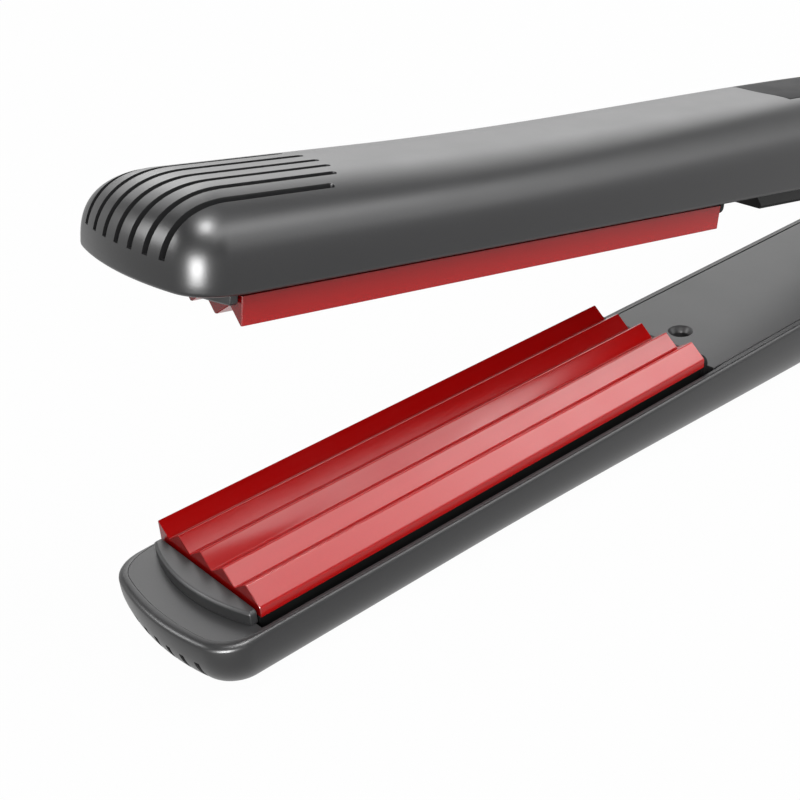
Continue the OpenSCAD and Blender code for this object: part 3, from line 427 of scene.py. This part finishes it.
# %% The ridged profile
# Most of a side that an arc may take, and how far out its guard points lie, in arc lengths
MOST_OF_SIDE, GUARD = 0.45, 1.15
# How far the ends are broken, and the share of it in height
END_BREAK, END_RISE = 0.12, 0.6


def round_corners(corners, radii, steps=5):
    """Replaces each inner corner by an arc: p (1-t)^2 + corner 2t(1-t) + q t^2, p and q on its sides."""
    corners = np.asarray(corners, float)
    out = [corners[:1]]
    for before, here, after, r in zip(corners[:-2], corners[1:-1], corners[2:], radii):
        u, v = before - here, after - here
        lu, lv = np.hypot(*u), np.hypot(*v)
        reach = min(r, MOST_OF_SIDE * lu, MOST_OF_SIDE * lv)
        t = np.linspace(0, 1, steps)[:, None]
        p, q = here + u / lu * reach, here + v / lv * reach
        arc = (1 - t) ** 2 * p + 2 * t * (1 - t) * here + t**2 * q
        out += [[here + u / lu * GUARD * reach], arc, [here + v / lv * GUARD * reach]]
    out.append(corners[-1:])
    return np.concatenate(out)


def plate_profile(round_r=0.2):
    """Top of the plate from its near edge to its far edge, with rounded teeth.

    Crests lie a pitch apart at the full height. Each valley lies SLOPE_RUN before its crest, so
    the side that faces the near edge is the steeper one.
    """
    edge = PLATE_W / 2
    crests = edge - RIDGE_PITCH * np.arange(4, -1, -1)
    valleys = crests[1:] - SLOPE_RUN
    tops = [(crests[0], RIDGE_H)]
    for valley, crest in zip(valleys, crests[1:]):
        tops += [(valley, -VALLEY_DROP), (crest, RIDGE_H)]
    corners = [(-edge, -PLATE_T), (-edge, -EDGE_DROP), *tops, (edge, -PLATE_T)]
    return round_corners(corners, [round_r] * (len(corners) - 2))


def crimp_plate(name, arm):
    """The profile carried along the arm; a second, slightly smaller one at each end breaks the edge."""
    profile = plate_profile()
    middle = np.array([0, -PLATE_T])
    runs = [(0, END_BREAK), (END_BREAK, 0), (PLATE_L - END_BREAK, 0), (PLATE_L, END_BREAK)]
    rings = []
    for x, shrink in runs:
        reach = np.hypot(*(profile - middle).T)
        share = (shrink / np.maximum(reach, SLIVER))[:, None]
        ring = profile - (profile - middle) * share * [1, END_RISE]
        rings.append(np.column_stack([np.full(len(ring), x), ring]))
    n = len(profile)
    faces = grid_faces(len(runs), n, closed=True)
    faces += [list(range(n)), list(range(len(runs) * n - 1, (len(runs) - 1) * n - 1, -1))]
    return add_mesh(name, np.concatenate(rings), faces, arm, sharp=28)


lower_ridges = crimp_plate("lower_ridges", "lower_arm")
upper_ridges = crimp_plate("upper_ridges", "upper_arm")
print("plate profile:", len(plate_profile()), "points")

# %% [markdown]
# ## Decks
# A deck is the flat frame that closes the casing round its plate. It is one ruled strip: for each
# station of the outline there is a point on the pocket's edge, and the section between them has
# softened corners. Its outer corner sinks a little beside the rim, which draws the thin joint line.
# Weighing normals by the area of their faces keeps the wide top flat to the light.

# %% A deck
JOINT_BREAK, POCKET_BREAK = 0.08, 0.12
BEHIND_PLATE = PLATE_L + 2


def deck(name, arm):
    """Ruled ring between the inset outline and the pocket, as a closed section at each station."""
    stations = whole_outline()
    rear, edge = HINGE_X - BARREL_R - 1, DECK_INSET + JOINT
    pocket, cover = (PLATE_W + POCKET_ROOM) / 2, COVER_W / 2 + GAP
    extra = nose_bead(stations)
    rows = []
    outer = ((edge, DECK_BOTTOM), (edge, FACE_Z - JOINT_BREAK), (edge + JOINT_BREAK, FACE_Z))
    for inset, z in outer:
        x, y = plan(stations, inset + extra, rear)
        rows.append(np.column_stack([x, y, np.full(len(x), z)]))
    x, y = plan(stations, edge + extra, rear)
    inner_x = np.maximum(x, POCKET_FRONT)
    inner_y = np.where(x > BEHIND_PLATE, np.sign(y) * cover, y / (HALF_W - edge) * pocket)
    for grow, z in ((POCKET_BREAK, FACE_Z), (0, FACE_Z - POCKET_BREAK), (0, DECK_BOTTOM)):
        shown_x = np.where(inner_x <= POCKET_FRONT + SAME_POINT, POCKET_FRONT - grow, inner_x)
        rows.append(np.column_stack([shown_x, inner_y * (1 + grow / pocket), np.full(len(x), z)]))
    ring = np.stack(rows, 1)
    n, m = ring.shape[:2]
    faces = grid_faces(n, m, closed=True) + [list(range(m)), list(range(n * m - 1, (n - 1) * m - 1, -1))]
    return add_mesh(name, ring.reshape(-1, 3), faces, arm)


lower_frame = deck("lower_frame", "lower_arm")
upper_frame = deck("upper_frame", "upper_arm")
flat_first(lower_frame)
flat_first(upper_frame)
print("deck faces:", len(lower_frame.data.polygons))

# %% [markdown]
# ## Edges that catch the light
# Moulded and pressed pieces never have truly sharp edges, and a thin bright line along an edge is
# what makes a small piece look real. Pieces whose plain form is right are copied from the frame,
# their flat triangles are joined again, and a small bevel is laid on every edge. The bevel widths
# are in millimetres.

# %% A softened copy of a frame node
# Faces that meet at less than this many degrees are one flat face
FLAT_ANGLE = 0.5


def softened(node, width, segments=2, angle=30, sharp=35):
    """Copies a node, merges its doubles, dissolves flat edges and bevels the rest."""
    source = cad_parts[node]
    piece = bpy.data.objects.new(node + "_soft", source.data.copy())
    bpy.context.scene.collection.objects.link(piece)
    piece.data.materials.clear()
    work = bmesh.new()
    work.from_mesh(piece.data)
    bmesh.ops.remove_doubles(work, verts=work.verts, dist=SAME_POINT)
    flat = math.radians(FLAT_ANGLE)
    bmesh.ops.dissolve_limit(work, angle_limit=flat, verts=work.verts, edges=work.edges)
    work.to_mesh(piece.data)
    work.free()
    bevel = piece.modifiers.new("soft edge", "BEVEL")
    bevel.width, bevel.segments, bevel.limit_method = width * MM, segments, "ANGLE"
    bevel.angle_limit = math.radians(angle)
    apply_modifiers(piece)
    shade_smooth(piece.data, sharp)
    flat_first(piece)
    return piece


SOFT_EDGES = {
    "lower_end_block": 0.2,
    "upper_end_block": 0.2,
    "lower_plate_holder": 0.15,
    "upper_plate_holder": 0.15,
    "lower_grip_cover": 0.12,
    "upper_grip_cover": 0.15,
    "hinge_fork": 0.25,
    "hinge_caps": 0.15,
    "hinge_knuckle": 0.2,
    "cord_bush": 0.1,
    "control_panel": 0.08,
    "power_button": 0.12,
}
soft = {node: softened(node, width) for node, width in SOFT_EDGES.items()}
print("softened:", {node: len(piece.data.polygons) for node, piece in soft.items()})

# %% [markdown]
# ## Controls
# The panel lies flush in a shallow recess of the upper casing, so the casing is cut with a
# slightly larger copy of the panel's own shape.

# %% Recess for the panel
RECESS_RISE = 1.0


def skin_patch(name, grow, rise, deep, arm, rows=40, columns=18):
    """Part of the skin, from rise outside it to deep inside it. Its front edge bows: x = bow v^2."""
    v = np.linspace(-1, 1, columns)[None, :]
    t = np.linspace(0, 1, rows)[:, None]
    y = v * (PANEL_W / 2 + grow) + 0 * t
    front = PANEL_X - grow + PANEL_BOW * v * v
    x = front + (PANEL_X + PANEL_L + grow - front) * t
    top = np.stack([x, y, skin_z(x, y)], -1)
    sheets = np.stack([top - [0, 0, rise], top + [0, 0, deep]])
    n = rows * columns
    index = np.arange(n).reshape(rows, columns)
    rim = np.concatenate([index[0], index[1:, -1], index[-1, -2::-1], index[-2:0:-1, 0]])
    around = np.stack([rim, np.roll(rim, -1), np.roll(rim, -1) + n, rim + n], -1).tolist()
    quads = grid_faces(rows, columns)
    faces = quads + [[c + n for c in quad[::-1]] for quad in quads] + around
    return add_mesh(name, sheets.reshape(-1, 3), faces, arm)


carve(upper_shell, [skin_patch("recess", GAP, RECESS_RISE, PANEL_T, "upper_arm")])
print("after the recess:", len(upper_shell.data.polygons), "faces")

# %% [markdown]
# ## Materials
# Every finish starts from what the real one is, except the vent walls, which get painted shade. The helper
# below adds one shader node with its settings and its inputs, and colours are written as on a paint card and
# turned to linear light.
# Two noises do the work: a grain of a third of a millimetre mixes two close shades and makes the
# relief, and clouds of 9 mm vary the gloss, as hands and moulds leave it.

# %% Helpers for materials
def linear(code, alpha=1.0):
    """sRGB hex to linear: c/12.92 for small values, else ((c + 0.055) / 1.055)^2.4."""
    parts = [int(code[i : i + 2], 16) / 255 for i in (0, 2, 4)]
    return (*[c / 12.92 if c <= 0.04045 else ((c + 0.055) / 1.055) ** 2.4 for c in parts], alpha)


def node(tree, kind, inputs=(), **settings):
    """Adds one shader node. inputs maps sockets to values or to other nodes' outputs."""
    made = tree.nodes.new("ShaderNode" + kind)
    for name, value in settings.items():
        setattr(made, name, value)
    for name, value in dict(inputs).items():
        if isinstance(value, bpy.types.NodeSocket):
            tree.links.new(value, made.inputs[name])
        else:
            made.inputs[name].default_value = value
    return made


def start(name):
    """An empty material and its tree, output and object coordinates."""
    material = bpy.data.materials.new(name)
    material.use_nodes = True
    tree = material.node_tree
    tree.nodes.clear()
    output = node(tree, "OutputMaterial")
    place_at = node(tree, "TexCoord").outputs["Object"]
    return material, tree, output, place_at


# Size of the gloss clouds, and the range in which the noise mostly lies
CLOUD_MM = 9
NOISE_LOW, NOISE_HIGH = 0.3, 0.7


def moulded(name, base, light, grain_mm, bump_mm, rough, swing=0.04, specular=0.5, metallic=0.0):
    """Moulded or coated surface: two close shades in fine grain, its relief, and uneven gloss."""
    material, tree, output, at = start(name)
    grain = node(tree, "TexNoise", {"Vector": at, "Scale": 1 / (grain_mm * MM), "Detail": 2.0})
    cloud = node(tree, "TexNoise", {"Vector": at, "Scale": 1 / (CLOUD_MM * MM), "Detail": 3.0})
    share = grain.outputs["Fac"]
    shade = node(tree, "Mix", {0: share, 6: linear(base), 7: linear(light)}, data_type="RGBA")
    gloss = node(
        tree,
        "MapRange",
        {
            "Value": cloud.outputs["Fac"],
            "From Min": NOISE_LOW,
            "From Max": NOISE_HIGH,
            "To Min": rough - swing,
            "To Max": rough + swing,
        },
    )
    relief = node(tree, "Bump", {"Height": share, "Strength": 1.0, "Distance": bump_mm * MM})
    shader = node(
        tree,
        "BsdfPrincipled",
        {
            "Base Color": shade.outputs[2],
            "Roughness": gloss.outputs["Result"],
            "Normal": relief.outputs["Normal"],
            "Specular IOR Level": specular,
            "Metallic": metallic,
        },
    )
    tree.links.new(shader.outputs[0], output.inputs["Surface"])
    return material


# %% Finishes of the outside
# Arguments: name, base and light shade, grain and relief in mm, roughness, and what differs.

# Satin shells: dark grey that turns pale where a lamp's soft edge runs over a round
satin_casing = moulded(
    "satin moulded ABS", "1d1d1e", "212122", 0.35, 0.006, 0.36, 0.012, specular=0.42
)
# Decks, covers and blocks: a shade lighter and duller, so that they read as a second moulding
satin_deck = moulded(
    "satin moulded nylon", "29292a", "2e2e2f", 0.3, 0.006, 0.42, 0.012, specular=0.42
)
# Slot walls: painted shade, a near-black finish that stands in for the shadow inside the seven slots,
# so that they stay black from every side; the real walls are the shell's own plastic
painted_shade_vents = moulded("painted shade on vent walls", "020202", "040404", 0.35, 0.004, 0.6, specular=0.1)
# Trays and hinge knuckle: a deep black shadow round the red plates
black_nylon = moulded(
    "black glass-filled nylon", "040404", "080808", 0.35, 0.006, 0.55, specular=0.15
)
# Thick upper cover: black, with just enough sheen to tell its bevels from its faces
black_cover = moulded("black moulded nylon", "080808", "0c0c0d", 0.35, 0.005, 0.45, specular=0.2)
# Crimp plates: saturated red in shade, washed to pink where a slope mirrors the lamp
red_coat = moulded(
    "red ceramic coat on aluminium", "980101", "a20202", 0.3, 0.0015, 0.2, 0.02, specular=0.36
)
# Panel: dark and dull, so that it stands out from the satin shell at a low angle
panel_finish = moulded("dark pressed panel", "121213", "18181a", 0.5, 0.004, 0.58, specular=0.1)
# Buttons and cord bush: soft matt grey, without a hard gleam
soft_button = moulded("matt button", "1c1c1d", "222223", 0.3, 0.004, 0.5)
# Lens: smooth red that holds one small gleam
red_lens = moulded("red lamp lens", "8c0707", "9b0a0a", 0.6, 0.001, 0.15)

# %% Finishes of the inside
# Pin, spring, clips and screws: pale grey metal with blurred reflections
steel = moulded("zinc-plated steel", "b9bbbe", "c6c8cb", 0.5, 0.002, 0.28, metallic=1.0)
# Heaters: chalky warm white
white_ceramic = moulded("alumina ceramic", "e6e2d8", "ece8df", 0.4, 0.003, 0.5)
# Insulating sheets: flaky brown with a coarse grain
mica = moulded("mica sheet", "b59a6c", "c2a87b", 1.2, 0.01, 0.45)
# Leads and fuse sleeves: milky and dull
silicone = moulded("silicone sleeve", "d9d9d6", "e2e2df", 0.4, 0.003, 0.5)
# Board: green lacquer with some gloss
green_board = moulded("solder-masked board", "1d5a35", "226540", 0.6, 0.003, 0.35)
# Connector, washers and lamp body: yellowish uncoloured plastic
ivory = moulded("ivory nylon", "d8d0b8", "e0d8c2", 0.4, 0.003, 0.45)
print("finishes:", [material.name for material in bpy.data.materials if material.use_nodes])

# %% [markdown]
# ## Dressing
# Each new piece says which body it moves with, which node it stands for, and which finish it has.
# The nodes that stay as they are get their finish on their own material slots.

# %% New pieces
def dress(piece, body, material, slot, *nodes):
    """Gives a piece its finish and body, and hides the nodes that it stands for."""
    piece.data.materials.clear()
    piece.data.materials.append(material)
    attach(piece, body)
    if nodes:
        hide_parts(*nodes)


dress(lower_shell, "lower_arm", satin_casing, "casing_plastic", "lower_casing")
dress(upper_shell, "upper_arm", satin_casing, "casing_plastic", "upper_casing")
# The cut walls of the vents, the second slot, get the painted shade
for shell in (lower_shell, upper_shell):
    shell.data.materials.append(painted_shade_vents)
dress(lower_ridges, "lower_arm", red_coat, "crimp_coating", "lower_crimp_plate")
dress(upper_ridges, "upper_arm", red_coat, "crimp_coating", "upper_crimp_plate")
dress(lower_frame, "lower_arm", satin_deck, "deck_plastic", "lower_deck")
dress(upper_frame, "upper_arm", satin_deck, "deck_plastic", "upper_deck")

SOFT_FINISH = {
    "lower_end_block": (satin_deck, "deck_plastic"),
    "upper_end_block": (satin_deck, "deck_plastic"),
    "lower_plate_holder": (black_nylon, "black_plastic"),
    "upper_plate_holder": (black_nylon, "black_plastic"),
    "lower_grip_cover": (satin_deck, "deck_plastic"),
    "upper_grip_cover": (black_cover, "black_plastic"),
    "hinge_fork": (satin_deck, "casing_plastic"),
    "hinge_caps": (satin_casing, "casing_plastic"),
    "hinge_knuckle": (black_nylon, "black_plastic"),
    "cord_bush": (soft_button, "black_plastic"),
    "control_panel": (panel_finish, "gloss_black"),
    "power_button": (soft_button, "gloss_black"),
}
BODY_OF = {"power_button": "power_button", "cord_bush": "cord_bush"}
for name, piece in soft.items():
    material, slot = SOFT_FINISH[name]
    upper = name.startswith("upper") or name in ("hinge_fork", "hinge_caps", "control_panel")
    body = BODY_OF.get(name, "upper_arm" if upper else "lower_arm")
    dress(piece, body, material, slot, name)
print("new pieces:", len(soft) + 6)

# %% Nodes that stay
KEPT = {
    "heater": white_ceramic,
    "mica_sheet": mica,
    "heater_clip": steel,
    "thermal_fuse": silicone,
    "leads": silicone,
    "cover_screws": steel,
}
kept = {f"{arm}_{part}": material for arm in ("lower", "upper") for part, material in KEPT.items()}
kept |= {
    "lead_connector": ivory,
    "hinge_pin": steel,
    "hinge_washers": ivory,
    "opening_spring": steel,
    "control_board": green_board,
    "push_switch": soft_button,
    "indicator_lamp": ivory,
    "indicator_lens": red_lens,
}
for name, material in kept.items():
    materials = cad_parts[name].data.materials
    materials.clear()
    materials.append(material)
print("kept nodes:", len(kept))

# %% [markdown]
# ## Studio
# The crimper lies on a plain white floor under large soft lamps. To the camera and in reflections
# the floor is nearly all white glow; what is left is pale paint, which keeps a faint shadow. Far
# behind the crimper the floor rolls up into a wall, so that no horizon shows.

# %% Floor
GLOW_SHARE = 0.98


def floor_material():
    """White to the camera and in reflections, pale matt paint to everything else."""
    material, tree, output, _ = start("white studio floor")
    ray = node(tree, "LightPath").outputs
    seen = ray["Is Camera Ray"]
    for kind in ("Is Glossy Ray", "Is Transmission Ray"):
        seen = node(tree, "Math", {0: seen, 1: ray[kind]}, operation="MAXIMUM").outputs[0]
    share = node(tree, "Math", {0: seen, 1: GLOW_SHARE}, operation="MULTIPLY")
    paint = node(tree, "BsdfDiffuse", {"Color": linear("b0b0b0")})
    glow = node(tree, "Emission", {"Color": (1, 1, 1, 1), "Strength": 1.0})
    mixed = node(tree, "MixShader", {0: share.outputs[0], 1: paint.outputs[0], 2: glow.outputs[0]})
    tree.links.new(mixed.outputs[0], output.inputs["Surface"])
    return material


FILLET_ROWS, SWEEP_SHARP = 12, 60


def sweep(flat=2.6, fillet=0.6, height=1.5, columns=96):
    """Floor that rolls up into a wall: r = flat + f sin t, z = f (1 - cos t), turned about Z."""
    t = np.linspace(0, math.pi / 2, FILLET_ROWS)
    r = np.concatenate([[0.0, 0.5 * flat], flat + fillet * np.sin(t), [flat + fillet]])
    z = np.concatenate([[0.0, 0.0], fillet * (1 - np.cos(t)), [height]])
    turn = np.linspace(0, 2 * math.pi, columns, endpoint=False)[None, :]
    r, z = r[:, None], z[:, None]
    points = np.stack([r * np.cos(turn), r * np.sin(turn), z + 0 * turn], -1)
    mesh = bpy.data.meshes.new("floor")
    mesh.from_pydata(points.reshape(-1, 3).tolist(), [], grid_faces(len(r), columns, closed=True))
    piece = bpy.data.objects.new("floor", mesh)
    bpy.context.scene.collection.objects.link(piece)
    tidy_mesh(mesh, SWEEP_SHARP)
    return piece


floor = sweep()
floor.data.materials.append(floor_material())
floor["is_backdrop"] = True
print("floor faces:", len(floor.data.polygons))

# %% [markdown]
# ## Light
# Four large soft boxes light the crimper in full. Satin plastic gives only a faint sheen, so three
# small boxes add gleams on the round corners and show in gloss alone. One wide box lifts the matt
# colour of the near side and shows in no reflection. The world adds an even, weak fill.

# %% Lamps
MIDDLE = np.array([0.0, 0.0, 0.03])


def soft_lamp(name, height, round_by, length, width, power, distance=1.0):
    """A soft box that looks at the crimper from a height and a compass angle, both in degrees."""
    data = bpy.data.lights.new(name, "AREA")
    data.shape, data.size, data.size_y, data.energy = "RECTANGLE", length, width, power
    lamp = bpy.data.objects.new(name, data)
    bpy.context.scene.collection.objects.link(lamp)
    up, turn = math.radians(height), math.radians(round_by)
    away = np.array([math.cos(up) * math.cos(turn), math.cos(up) * math.sin(turn), math.sin(up)])
    lamp.location = MIDDLE + away * distance
    lamp.rotation_euler = Vector(-away).to_track_quat("-Z", "Y").to_euler()
    return lamp


# Name, height and compass angle in degrees, length and width in metres, watts, metres away
soft_lamp("far wall of light", 24, 48, 1.2, 0.6, 4.7, 1.2)
soft_lamp("far middle", 36, 80, 0.6, 0.5, 2.6)
soft_lamp("near right", 34, 320, 0.6, 0.5, 3.2)

# A long box that hangs level beyond the near side; the steep sides of the ridges mirror it
over = soft_lamp("over the near side", 57, 315, 1.2, 0.48, 11.5)
over.location = (0.58, -0.453, 1.03)
over.rotation_euler = (0, 0, 0)

# Boxes that show in gloss alone, and one that shows in none
for gleam in (
    soft_lamp("gleam by the nose", 13, 217, 0.45, 0.55, 42),
    soft_lamp("gleam overhead", 86, 270, 0.22, 0.22, 12),
    soft_lamp("gleam far left", 32, 142, 0.3, 0.3, 5),
):
    gleam.visible_diffuse = False
soft_lamp("bounce", 40, 245, 0.9, 0.9, 9, 1.1).visible_glossy = False

# %% World
world = bpy.data.worlds.new("studio")
bpy.context.scene.world = world
world.use_nodes = True
world.node_tree.nodes.clear()
sky_out = node(world.node_tree, "OutputWorld")
sky = node(world.node_tree, "Background", {"Color": (1, 1, 1, 1), "Strength": 0.22})
world.node_tree.links.new(sky.outputs[0], sky_out.inputs["Surface"])

# %% [markdown]
# ## Camera
# The lens is a little long, so both noses and the plates fill the frame without stretching. The
# colour view is plain, so that a colour shows as it was written.

# %% Camera
camera_data = bpy.data.cameras.new("camera")
camera_data.lens, camera_data.sensor_width = 61.06, 36.0
camera_data.clip_start, camera_data.clip_end = 0.01, 20
camera = bpy.data.objects.new("camera", camera_data)
bpy.context.scene.collection.objects.link(camera)
camera.location = np.array([-185.63, -137.17, 121.51]) * MM
camera.rotation_euler = np.radians([61.405, 3.2136, -40.7652])
bpy.context.scene.camera = camera
bpy.context.scene.view_settings.view_transform = "Standard"
print("camera", [round(v, 3) for v in camera.location], "m, lens", camera_data.lens, "mm")

# %% [markdown]
# ## Finish
# The box of everything that shows is printed beside the box of the frame's own nodes.

# %% Finish
low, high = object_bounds()
for title, span in (("CAD box", cad_high - cad_low), ("visual box", high - low)):
    print(title, [round(v, 4) for v in span])
